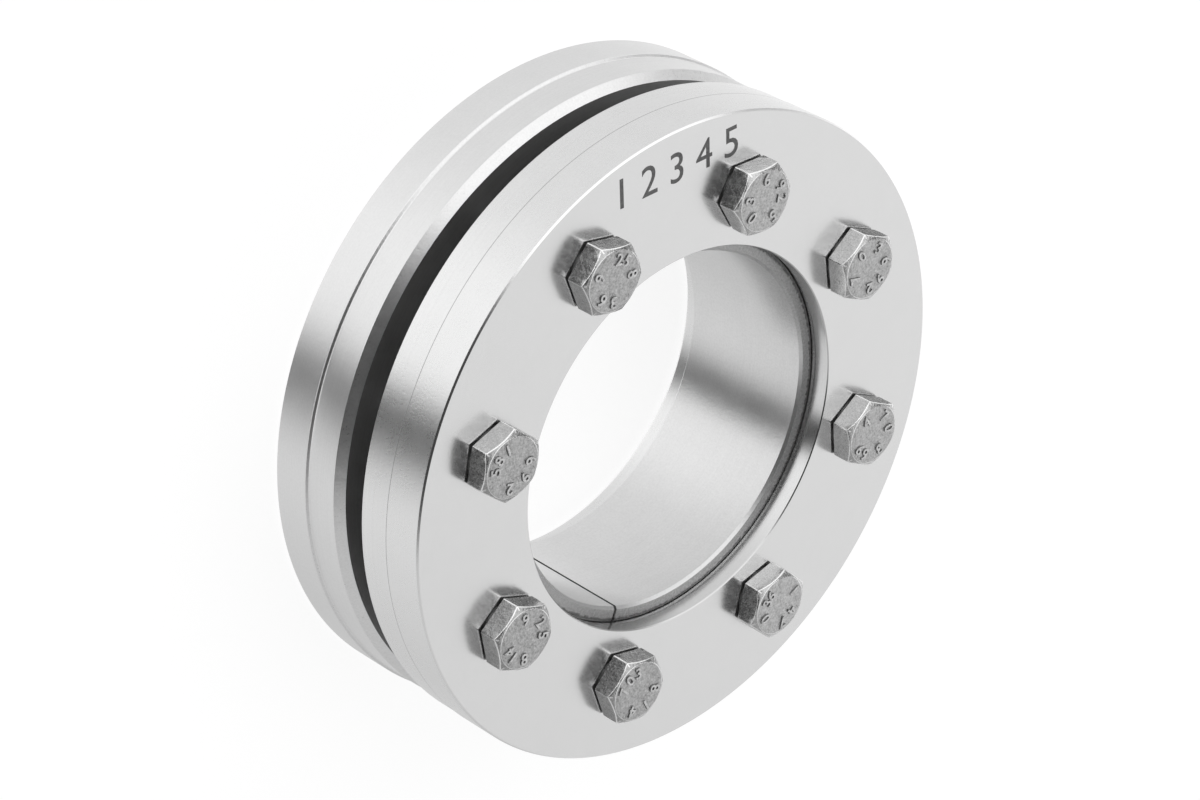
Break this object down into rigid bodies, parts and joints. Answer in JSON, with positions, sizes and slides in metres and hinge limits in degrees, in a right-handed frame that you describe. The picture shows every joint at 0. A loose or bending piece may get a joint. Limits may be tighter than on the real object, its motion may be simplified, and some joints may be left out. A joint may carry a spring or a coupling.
{
  "type": "shrink disc",
  "caption": "Shrink disc: thrust rings with tapered bores, drawn together over a slit inner ring by hexagon head screws, clamp a hub onto a shaft.",
  "frame": {"origin": "centre of the rear thrust ring's outer face, on the disc's axis", "axes": "+Z along the disc's axis, from the rear face towards the screw heads; +X halfway between two screws, -Y towards the picture's viewer"},
  "size_m": [0.1, 0.1, 0.0345],
  "materials": {
    "turned_steel": "fine turned and satin ground",
    "inner_ring_steel": "fine turned, satin",
    "screw_steel": "cold forged, dull, worn bright along the edges"
  },
  "bodies": {
    "rear_assembly": {"rear_thrust_ring": "turned_steel", "inner_ring": "inner_ring_steel"},
    "front_ring": {"front_thrust_ring": "turned_steel"},
    "screw_1": {"screw_1": "screw_steel"},
    "screw_2": {"screw_2": "screw_steel"},
    "screw_3": {"screw_3": "screw_steel"},
    "screw_4": {"screw_4": "screw_steel"},
    "screw_5": {"screw_5": "screw_steel"},
    "screw_6": {"screw_6": "screw_steel"},
    "screw_7": {"screw_7": "screw_steel"},
    "screw_8": {"screw_8": "screw_steel"}
  },
  "joints": [
    {"name": "front_ring_slide", "type": "slide", "parent": "rear_assembly", "child": "front_ring", "axis": [0, 0, 1], "range_m": [-0.001, 0.003]},
    {"name": "screw_1_turn", "type": "hinge", "parent": "front_ring", "child": "screw_1", "pos_m": [0.03488, 0.01445, 0.0305], "axis": [0, 0, 1], "range_deg": [-361, 1081]},
    {"name": "screw_2_turn", "type": "hinge", "parent": "front_ring", "child": "screw_2", "pos_m": [0.01445, 0.03488, 0.0305], "axis": [0, 0, 1], "range_deg": [-361, 1081]},
    {"name": "screw_3_turn", "type": "hinge", "parent": "front_ring", "child": "screw_3", "pos_m": [-0.01445, 0.03488, 0.0305], "axis": [0, 0, 1], "range_deg": [-361, 1081]},
    {"name": "screw_4_turn", "type": "hinge", "parent": "front_ring", "child": "screw_4", "pos_m": [-0.03488, 0.01445, 0.0305], "axis": [0, 0, 1], "range_deg": [-361, 1081]},
    {"name": "screw_5_turn", "type": "hinge", "parent": "front_ring", "child": "screw_5", "pos_m": [-0.03488, -0.01445, 0.0305], "axis": [0, 0, 1], "range_deg": [-361, 1081]},
    {"name": "screw_6_turn", "type": "hinge", "parent": "front_ring", "child": "screw_6", "pos_m": [-0.01445, -0.03488, 0.0305], "axis": [0, 0, 1], "range_deg": [-361, 1081]},
    {"name": "screw_7_turn", "type": "hinge", "parent": "front_ring", "child": "screw_7", "pos_m": [0.01445, -0.03488, 0.0305], "axis": [0, 0, 1], "range_deg": [-361, 1081]},
    {"name": "screw_8_turn", "type": "hinge", "parent": "front_ring", "child": "screw_8", "pos_m": [0.03488, -0.01445, 0.0305], "axis": [0, 0, 1], "range_deg": [-361, 1081]}
  ],
  "couplings": [
    {"joint": "screw_1_turn", "follows": "front_ring_slide", "rad_per_m": 6283.2},
    {"joint": "screw_2_turn", "follows": "front_ring_slide", "rad_per_m": 6283.2},
    {"joint": "screw_3_turn", "follows": "front_ring_slide", "rad_per_m": 6283.2},
    {"joint": "screw_4_turn", "follows": "front_ring_slide", "rad_per_m": 6283.2},
    {"joint": "screw_5_turn", "follows": "front_ring_slide", "rad_per_m": 6283.2},
    {"joint": "screw_6_turn", "follows": "front_ring_slide", "rad_per_m": 6283.2},
    {"joint": "screw_7_turn", "follows": "front_ring_slide", "rad_per_m": 6283.2},
    {"joint": "screw_8_turn", "follows": "front_ring_slide", "rad_per_m": 6283.2}
  ]
}
